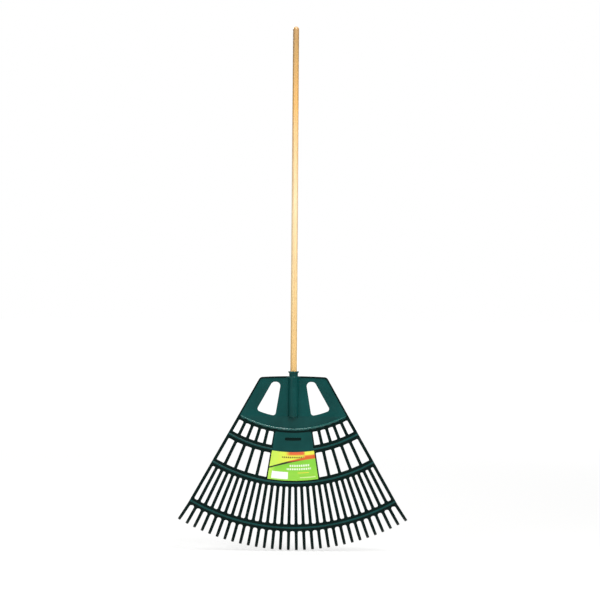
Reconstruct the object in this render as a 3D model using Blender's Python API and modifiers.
# Leaf rake: a round wooden handle screwed into a plastic head whose thirty sprung
# tines fan out from one centre. Metres, +Z up, the handle upright on the Z axis, the
# labelled front facing -Y and the tine tips curling towards +Y. The origin is on the
# handle's axis where the upper hand holds it.

import math

import bmesh
import bpy
from mathutils import Matrix, Vector

# Driving dimensions, in metres and degrees.
GAP = 0.0003  # clearance between pieces that touch

# Handle: a tapered pole with a domed top end.
HANDLE_LENGTH = 1.219
HANDLE_TOP_Z = 0.300
HANDLE_TOP_RADIUS = 0.0098
HANDLE_ROOT_RADIUS = 0.0108
HANDLE_DOME = 0.0095
HANDLE_CHAMFER = 0.0015

# Fan: radii are measured from the fan centre, angles from straight down.
FAN_BELOW_HANDLE_TOP = 0.9594
TINE_COUNT = 30
TINE_PITCH = 2.027
FRONT_Y = -0.0015  # front skin of the flat upper part of the head
BOW_START = 0.345  # radius where the head starts to bow backwards
BOW = 0.21  # the skin falls back by BOW * (radius - BOW_START) ** 2

# Socket: flared lip, neck and the boss moulded into the plate.
LIP_RADIUS_ON_FAN = 0.164
LIP_RADIUS = 0.0177
LIP_HEIGHT = 0.004
SOCKET_CHAMFER = 0.001
NECK_RADIUS = 0.0143
BOSS_START = 0.181
BOSS_END = 0.316
BOSS_RADIUS = 0.0167
BOSS_CHAMFER = 0.003  # at its lower end
BORE_END_CLEARANCE = 0.001

# Fixing screw, from the back through the socket wall into the handle.
SCREW_ON_FAN = 0.214
SCREW_SHANK_RADIUS = 0.0020
SCREW_LENGTH = 0.019
SCREW_HEAD_RADIUS = 0.0040
SCREW_HEAD_HEIGHT = 0.0022
SEAT_DEPTH = 0.0015  # flat seat sunk into the boss for the screw head
SEAT_RADIUS = 0.0046
HOLE_END_CLEARANCE = 0.001
CUTTER_END_Y = 0.030  # well outside the boss

# Shoulder plate with its two windows. Depths are measured straight down from the fan
# centre. The top edge is slightly crowned, and the plate's foot is an arc of the fan.
PLATE_TOP_DEPTH = 0.1796
PLATE_TOP_CROWN = 0.0033  # how far the top edge falls from its middle to its corners
PLATE_CORNER_DEPTH = 0.183
PLATE_END = 0.359
PLATE_THICKNESS = 0.003
PLATE_CORNER = 0.010
WINDOW_TOP_DEPTH = 0.1985
WINDOW_TOP_EDGE = (0.0407, 0.0688)  # from the middle to the top edge's two ends
WINDOW_END = 0.315
WINDOW_FOOT_ANGLES = (10.8, 22.5)
WINDOW_CORNERS = (0.0135, 0.007)  # fillet radii at the top and at the foot

# Ribs and slot rows below the plate.
UPPER_RIB = (0.411, 0.4365)
MIDDLE_RIB = (0.5175, 0.542)
LOWER_RIB = (0.667, 0.689)
BAR_WIDTH = 0.0098
BAR_THICKNESS = 0.004
PANEL_THICKNESS = 0.0026
PANEL_TINES = (11, 20)  # the solid centre panel runs from tine to tine
GRID_SPLITS = ((1, 10), (11, 20), (21, 30))  # tines in each third of the lower grid

# Free tine ends: straight, then a hook, then a short straight tip.
TINE_STRAIGHT = 0.030
TINE_HOOK_RADIUS = 0.038
TINE_HOOK_ANGLE = 75.0
TINE_TIP = 0.008
TINE_TIP_THICKNESS = 0.0026
TINE_FLARES = {1: 3.6, 2: 1.7, 3: 0.8}  # extra outward turn of the outermost tines

# Printed label on the centre panel.
LABEL_RADII = (0.428, 0.522)
LABEL_HALF_ANGLE = 9.2
LABEL_THICKNESS = 0.0005

TURN_STEPS = 24  # sides of the large turned pieces
SCREW_TURN_STEPS = 12

FAN_Z = HANDLE_TOP_Z - FAN_BELOW_HANDLE_TOP
HANDLE_ROOT_Z = HANDLE_TOP_Z - HANDLE_LENGTH


def new_collection(name):
    collection = bpy.data.collections.new(name)
    bpy.context.scene.collection.children.link(collection)
    return collection


def make_material(name, colour, roughness, metallic=0.0):
    material = bpy.data.materials.new(name)
    material.use_nodes = True
    shader = material.node_tree.nodes["Principled BSDF"]
    shader.inputs["Base Color"].default_value = (*colour, 1.0)
    shader.inputs["Roughness"].default_value = roughness
    shader.inputs["Metallic"].default_value = metallic
    material.diffuse_color = (*colour, 1.0)
    return material


def add_object(name, data, collection, material=None):
    obj = bpy.data.objects.new(name, data)
    collection.objects.link(obj)
    if material and not data.materials:
        data.materials.append(material)
    return obj


def mesh_from(bm, name):
    mesh = bpy.data.meshes.new(name)
    bm.to_mesh(mesh)
    bm.free()
    return mesh


# Fan geometry.


def bow(radius):
    """Backward fall of the head's front skin at a fan radius."""
    return FRONT_Y + BOW * max(0.0, radius - BOW_START) ** 2


def bow_angle(radius):
    return math.atan(2 * BOW * max(0.0, radius - BOW_START))


def fan_point(angle, radius, offset=0.0, y=0.0):
    """Point at an angle in degrees and a radius, offset sideways from that ray."""
    a = math.radians(angle)
    x = radius * math.sin(a) + offset * math.cos(a)
    z = FAN_Z - radius * math.cos(a) + offset * math.sin(a)
    return Vector((x, y, z))


def tine_angle(number):
    return (number - (TINE_COUNT + 1) / 2) * TINE_PITCH


def tine_flare(number):
    """Extra outward turn of a free tine end, signed like its angle."""
    from_edge = min(number, TINE_COUNT + 1 - number)
    return math.copysign(TINE_FLARES.get(from_edge, 0.0), tine_angle(number))


# Turned pieces.


def turned(name, profile, collection, material, steps=TURN_STEPS):
    """Solid of revolution about the object's Z axis, from (radius, z) points."""
    bm = bmesh.new()
    verts = [bm.verts.new((radius, 0.0, z)) for radius, z in profile]
    for a, b in zip(verts, verts[1:]):
        bm.edges.new((a, b))
    obj = add_object(name, mesh_from(bm, name), collection, material)
    screw = obj.modifiers.new("Turn", "SCREW")
    screw.steps = screw.render_steps = steps
    screw.use_merge_vertices = True
    screw.merge_threshold = 0.00001
    return obj


def arc_profile(radius, z_centre, height, start, end, steps):
    """Quarter-ellipse points (radius, z) from one angle to another, in degrees."""
    points = []
    for i in range(steps + 1):
        a = math.radians(start + (end - start) * i / steps)
        points.append((radius * math.cos(a), z_centre + height * math.sin(a)))
    return points


def cut(obj, cutter):
    boolean = obj.modifiers.new("Cut " + cutter.name, "BOOLEAN")
    boolean.operation = "DIFFERENCE"
    boolean.solver = "EXACT"
    boolean.object = cutter


def rod_cutter(name, radius, y_start, y_end, z, collection):
    """Cylinder along Y, used only as a cutter."""
    bm = bmesh.new()
    bmesh.ops.create_cone(
        bm,
        cap_ends=True,
        segments=16,
        radius1=radius,
        radius2=radius,
        depth=y_end - y_start,
    )
    obj = add_object(name, mesh_from(bm, name), collection)
    obj.rotation_euler = (math.radians(90), 0.0, 0.0)
    obj.location = (0.0, (y_start + y_end) / 2, z)
    obj.hide_render = True
    obj.display_type = "WIRE"
    return obj


def make_handle(parts, material):
    dome_z = HANDLE_TOP_Z - HANDLE_DOME
    profile = arc_profile(HANDLE_TOP_RADIUS, dome_z, HANDLE_DOME, 90, 0, 6)
    profile[0] = (0.0, HANDLE_TOP_Z)
    profile += [
        (HANDLE_ROOT_RADIUS, HANDLE_ROOT_Z + HANDLE_CHAMFER),
        (HANDLE_ROOT_RADIUS - HANDLE_CHAMFER, HANDLE_ROOT_Z),
        (0.0, HANDLE_ROOT_Z),
    ]
    return turned("handle", profile, parts, material)


def make_socket(parts, material):
    lip_z = FAN_Z - LIP_RADIUS_ON_FAN
    boss_top_z = FAN_Z - BOSS_START
    boss_end_z = FAN_Z - BOSS_END
    bore_end_z = HANDLE_ROOT_Z - BORE_END_CLEARANCE
    bore_radius = HANDLE_ROOT_RADIUS + GAP
    chamfer = SOCKET_CHAMFER
    profile = [
        (0.0, bore_end_z),
        (bore_radius, bore_end_z),
        (bore_radius, lip_z),
        (LIP_RADIUS - chamfer, lip_z),
        (LIP_RADIUS, lip_z - chamfer),
        (LIP_RADIUS, lip_z - LIP_HEIGHT + chamfer),
        (NECK_RADIUS, lip_z - LIP_HEIGHT - chamfer),
        (NECK_RADIUS, boss_top_z + chamfer),
        (BOSS_RADIUS, boss_top_z - chamfer),
        (BOSS_RADIUS, boss_end_z + BOSS_CHAMFER),
        (BOSS_RADIUS - BOSS_CHAMFER, boss_end_z),
        (0.0, boss_end_z),
    ]
    return turned("head_socket", profile, parts, material)


def make_screw(parts, material):
    """Pan-head screw lying along Y, its tip inside the handle."""
    profile = arc_profile(SCREW_HEAD_RADIUS, 0.0, SCREW_HEAD_HEIGHT, 90, 0, 4)
    profile[0] = (0.0, SCREW_HEAD_HEIGHT)
    profile += [
        (SCREW_SHANK_RADIUS, 0.0),
        (SCREW_SHANK_RADIUS, -SCREW_LENGTH + 2 * SCREW_SHANK_RADIUS),
        (0.0, -SCREW_LENGTH),
    ]
    obj = turned("fixing_screw", profile, parts, material, SCREW_TURN_STEPS)
    seat_y = BOSS_RADIUS - SEAT_DEPTH
    obj.location = (0.0, seat_y + GAP, FAN_Z - SCREW_ON_FAN)
    obj.rotation_euler = (math.radians(-90), 0.0, 0.0)
    return obj


# Flat outlines.


def fillet(corners):
    """Outline points from (x, y, fillet radius, steps) corners in order."""
    points = []
    count = len(corners)
    for i, (x, y, radius, steps) in enumerate(corners):
        here = Vector((x, y))
        if radius == 0.0:
            points.append(here)
            continue
        before = (Vector(corners[i - 1][:2]) - here).normalized()
        after = (Vector(corners[(i + 1) % count][:2]) - here).normalized()
        half = before.angle(after) / 2
        centre = here + (before + after).normalized() * radius / math.sin(half)
        first = here + before * radius / math.tan(half) - centre
        last = here + after * radius / math.tan(half) - centre
        sweep = first.angle_signed(last)
        for step in range(steps + 1):
            turn = Matrix.Rotation(-sweep * step / steps, 2)
            points.append(centre + turn @ first)
    return points


def flat_curve(name, outlines, half_thickness):
    """Filled 2D curve in its own XY plane, extruded by half its thickness."""
    curve = bpy.data.curves.new(name, "CURVE")
    curve.dimensions = "2D"
    curve.fill_mode = "BOTH"
    curve.extrude = half_thickness
    for outline in outlines:
        spline = curve.splines.new("POLY")
        spline.points.add(len(outline) - 1)
        for point, (x, y) in zip(spline.points, outline):
            point.co = (x, y, 0.0, 1.0)
        spline.use_cyclic_u = True
    return curve


def flat_polar(angle, radius):
    """Fan position on the plate's own drawing plane, whose origin is the fan centre."""
    a = math.radians(angle)
    return radius * math.sin(a), -radius * math.cos(a)


def arc_corners(radius, start, end, steps):
    """Unrounded outline corners along a fan arc."""
    corners = []
    for i in range(steps + 1):
        corners.append((*flat_polar(start + (end - start) * i / steps, radius), 0.0, 0))
    return corners


def window_outline(side):
    top, foot = WINDOW_CORNERS
    top_inner, top_outer = (side * x for x in WINDOW_TOP_EDGE)
    inner, outer = (side * angle for angle in WINDOW_FOOT_ANGLES)
    corners = [(top_inner, -WINDOW_TOP_DEPTH, top, 6), (top_outer, -WINDOW_TOP_DEPTH, top, 5)]
    corners.append((*flat_polar(outer, WINDOW_END), foot, 5))
    corners += arc_corners(WINDOW_END, outer - side * 3, inner + side * 3, 2)
    corners.append((*flat_polar(inner, WINDOW_END), foot, 5))
    return fillet(corners)


def side_edge_x(depth):
    """Distance from the middle to the head's straight side edge at a depth."""
    edge = math.radians(abs(tine_angle(1)))
    return depth * math.tan(edge) + BAR_WIDTH / 2 / math.cos(edge)


def make_plate(parts, material):
    """Right half of the outline from the notch for the boss to the foot, then its mirror."""
    notch = BOSS_RADIUS + GAP
    corner_x = side_edge_x(PLATE_CORNER_DEPTH)
    right = [(notch, -BOSS_END - GAP, 0.0, 0)]
    for i in range(4):
        x = notch + (corner_x - notch) * i / 3
        fall = PLATE_TOP_CROWN * (x / corner_x) ** 2
        right.append((x, -PLATE_TOP_DEPTH - fall, 0.0, 0))
    x, y, _, _ = right[-1]
    right[-1] = (x, y, PLATE_CORNER, 5)
    foot_offset = math.degrees(math.asin(BAR_WIDTH / 2 / PLATE_END))
    right += arc_corners(PLATE_END, tine_angle(TINE_COUNT) + foot_offset, 0.0, 14)
    left = [(-x, y, radius, steps) for x, y, radius, steps in reversed(right[:-1])]
    outlines = [fillet(right + left), window_outline(-1), window_outline(1)]
    curve = flat_curve("head_plate", outlines, PLATE_THICKNESS / 2)
    obj = add_object("head_plate", curve, parts, material)
    obj.location = (0.0, FRONT_Y + PLATE_THICKNESS / 2, FAN_Z)
    obj.rotation_euler = (math.radians(90), 0.0, 0.0)
    return obj


# Bowed sheets: a grid laid on the fan, with the slots left out.


def fan_sheet(name, columns, rows, is_open, thickness, parts, material, lift=0.0):
    """Sheet on the bowed fan. Columns are (angle, offset), rows are radii.

    is_open(column, row) tells which cells are slots; lift raises the sheet
    forward off the skin.
    """
    last_column, last_row = len(columns) - 1, len(rows) - 1
    bm = bmesh.new()
    bmesh.ops.create_grid(bm, x_segments=last_column, y_segments=last_row, size=1.0)
    cells = {}
    for face in bm.faces:
        centre = face.calc_center_median()
        column = int((centre.x + 1) / 2 * last_column)
        row = last_row - 1 - int((centre.y + 1) / 2 * last_row)
        cells[face] = (column, row)
    for vert in bm.verts:
        angle, offset = columns[round((vert.co.x + 1) / 2 * last_column)]
        radius = rows[last_row - round((vert.co.y + 1) / 2 * last_row)]
        tilt = bow_angle(radius)
        vert.co = fan_point(
            angle, radius + lift * math.sin(tilt), offset,
            bow(radius) - lift * math.cos(tilt),
        )
    slots = [face for face, cell in cells.items() if is_open(*cell)]
    bmesh.ops.delete(bm, geom=slots, context="FACES")
    obj = add_object(name, mesh_from(bm, name), parts, material)
    solidify = obj.modifiers.new("Thickness", "SOLIDIFY")
    solidify.thickness = thickness
    solidify.offset = -1.0
    solidify.use_even_offset = True
    return obj


def rows_between(start, end, steps):
    """Evenly spaced radii between two rows, without the rows themselves."""
    return [start + (end - start) * i / steps for i in range(1, steps)]


def bar_columns(numbers):
    """Left and right edge of each bar."""
    columns = []
    for number in numbers:
        columns.append((tine_angle(number), -BAR_WIDTH / 2))
        columns.append((tine_angle(number), BAR_WIDTH / 2))
    return columns


def make_upper_grid(name, side, parts, material):
    """Every second bar beside the centre panel, crossed by the upper rib."""
    edge_tine = PANEL_TINES[0]
    columns = []
    for number in range(1, edge_tine, 2):
        columns += bar_columns([number])
        columns.append((tine_angle(number + 1), 0.0))
    columns.append((tine_angle(edge_tine), -BAR_WIDTH / 2 - GAP))
    if side > 0:
        columns = [(-angle, -offset) for angle, offset in reversed(columns)]
    top, foot = PLATE_END + GAP, MIDDLE_RIB[0] - GAP
    rows = [top, *rows_between(top, UPPER_RIB[0], 2), *UPPER_RIB]
    rows += [*rows_between(UPPER_RIB[1], foot, 3), foot]

    def is_open(column, row):
        bar = column % 3 == (0 if side < 0 else 2)
        rib = rows[row] == UPPER_RIB[0]
        return not (bar or rib)

    return fan_sheet(name, columns, rows, is_open, BAR_THICKNESS, parts, material)


def make_centre_panel(parts, material):
    first, last = PANEL_TINES
    columns = [(tine_angle(first), -BAR_WIDTH / 2)]
    columns += [(tine_angle(number), 0.0) for number in range(first + 1, last)]
    columns.append((tine_angle(last), BAR_WIDTH / 2))
    top, foot = PLATE_END + GAP, MIDDLE_RIB[0] - GAP
    rows = [top, *rows_between(top, foot, 5), foot]
    return fan_sheet(
        "centre_panel", columns, rows, lambda column, row: False,
        PANEL_THICKNESS, parts, material,
    )


def make_lower_grid(name, tines, parts, material):
    """Ten bars between the middle rib and the lower rib."""
    first, last = tines
    columns = bar_columns(range(first, last + 1))
    if first > 1:
        middle = (tine_angle(first - 1) + tine_angle(first)) / 2
        columns.insert(0, (middle, GAP / 2))
    if last < TINE_COUNT:
        middle = (tine_angle(last) + tine_angle(last + 1)) / 2
        columns.append((middle, -GAP / 2))
    top, slot_start, slot_end, foot = *MIDDLE_RIB, *LOWER_RIB
    rows = [top, slot_start, *rows_between(slot_start, slot_end, 3), slot_end, foot]
    bar_parity = 1 if first > 1 else 0

    def is_open(column, row):
        bar = column % 2 == bar_parity
        rib = rows[row] in (top, slot_end)
        return not (bar or rib)

    return fan_sheet(name, columns, rows, is_open, BAR_THICKNESS, parts, material)


# Free tine ends.


def tine_outline():
    """Side view of a free tine, as (back, up) points about its hinge point."""
    start = bow_angle(LOWER_RIB[1])
    end = math.radians(TINE_HOOK_ANGLE)
    path = [(0.0, 0.0, start, 0.0)]
    y = TINE_STRAIGHT * math.sin(start)
    z = -TINE_STRAIGHT * math.cos(start)
    hook_length = TINE_HOOK_RADIUS * (end - start)
    length = TINE_STRAIGHT + hook_length + TINE_TIP
    steps = 6
    for i in range(steps + 1):
        a = start + (end - start) * i / steps
        back = y + TINE_HOOK_RADIUS * (math.cos(start) - math.cos(a))
        up = z - TINE_HOOK_RADIUS * (math.sin(a) - math.sin(start))
        path.append((back, up, a, TINE_STRAIGHT + hook_length * i / steps))
    back, up, _, _ = path[-1]
    tip_back = back + TINE_TIP * math.sin(end)
    path.append((tip_back, up - TINE_TIP * math.cos(end), end, length))

    def side(sign):
        points = []
        for back, up, a, along in path:
            taper = (TINE_TIP_THICKNESS - BAR_THICKNESS) * along / length
            half = sign * (BAR_THICKNESS + taper) / 2
            points.append((back + half * math.cos(a), up + half * math.sin(a)))
        return points

    outline = side(1) + side(-1)[::-1]
    root_steps = 6
    for i in range(1, root_steps):
        a = start - math.pi * i / root_steps
        radius = BAR_THICKNESS / 2
        outline.append((-radius * math.cos(a), -radius * math.sin(a)))
    return outline


def hinge_point(number):
    """Centre of a free tine's round root, just below the lower rib."""
    flare = math.radians(abs(tine_flare(number)))
    half = BAR_THICKNESS / 2
    reach = GAP + half + BAR_WIDTH / 2 * math.sin(flare)
    tilt = bow_angle(LOWER_RIB[1])
    radius = LOWER_RIB[1] + reach * math.cos(tilt) - half * math.sin(tilt)
    y = bow(LOWER_RIB[1]) + reach * math.sin(tilt) + half * math.cos(tilt)
    return fan_point(tine_angle(number), radius, 0.0, y)


def make_tines(parts, material):
    """Thirty free tines, each with its origin on its own flexing line."""
    curve = flat_curve("tine", [tine_outline()], BAR_WIDTH / 2)
    upright = Matrix(((0, 0, 1), (1, 0, 0), (0, 1, 0)))  # drawing plane to the YZ plane
    for number in range(1, TINE_COUNT + 1):
        obj = add_object(f"tine_{number:02d}", curve, parts, material)
        turn = -math.radians(tine_angle(number) + tine_flare(number))
        obj.rotation_euler = (Matrix.Rotation(turn, 3, "Y") @ upright).to_euler()
        obj.location = hinge_point(number)


def make_label(parts, material):
    inner, outer = LABEL_RADII
    columns = [(LABEL_HALF_ANGLE * i / 4, 0.0) for i in range(-4, 5)]
    rows = [inner, *rows_between(inner, outer, 4), outer]
    return fan_sheet(
        "label", columns, rows, lambda column, row: False,
        LABEL_THICKNESS, parts, material, lift=GAP + LABEL_THICKNESS,
    )


def shade(obj):
    """Smooth shading with creases at the real edges."""
    if obj.type == "MESH":
        obj.data.shade_smooth()
        obj.data.set_sharp_from_angle(angle=math.radians(35))


def build():
    for obj in list(bpy.data.objects):
        bpy.data.objects.remove(obj, do_unlink=True)
    parts = new_collection("leaf_rake")
    cutters = new_collection("cutters")

    wood = make_material("sealed hardwood", (0.80, 0.60, 0.29), 0.40)
    plastic = make_material("green polypropylene", (0.018, 0.066, 0.060), 0.42)
    steel = make_material("zinc-plated steel", (0.62, 0.63, 0.64), 0.35, 1.0)
    film = make_material("printed film", (0.55, 0.76, 0.12), 0.35)

    handle = make_handle(parts, wood)
    socket = make_socket(parts, plastic)
    make_plate(parts, plastic)
    make_centre_panel(parts, plastic)
    make_upper_grid("upper_grid_left", -1, parts, plastic)
    make_upper_grid("upper_grid_right", 1, parts, plastic)
    for place, tines in zip(("left", "centre", "right"), GRID_SPLITS):
        make_lower_grid(f"lower_grid_{place}", tines, parts, plastic)
    make_tines(parts, plastic)
    make_label(parts, film)
    make_screw(parts, steel)

    screw_z = FAN_Z - SCREW_ON_FAN
    seat_y = BOSS_RADIUS - SEAT_DEPTH
    hole_radius = SCREW_SHANK_RADIUS + GAP
    hole_end = seat_y - SCREW_LENGTH - HOLE_END_CLEARANCE
    hole = rod_cutter("screw_hole", hole_radius, hole_end, CUTTER_END_Y, screw_z, cutters)
    seat = rod_cutter("screw_seat", SEAT_RADIUS, seat_y, CUTTER_END_Y, screw_z, cutters)
    cut(handle, hole)
    cut(socket, hole)
    cut(socket, seat)

    for obj in parts.objects:
        shade(obj)


build()
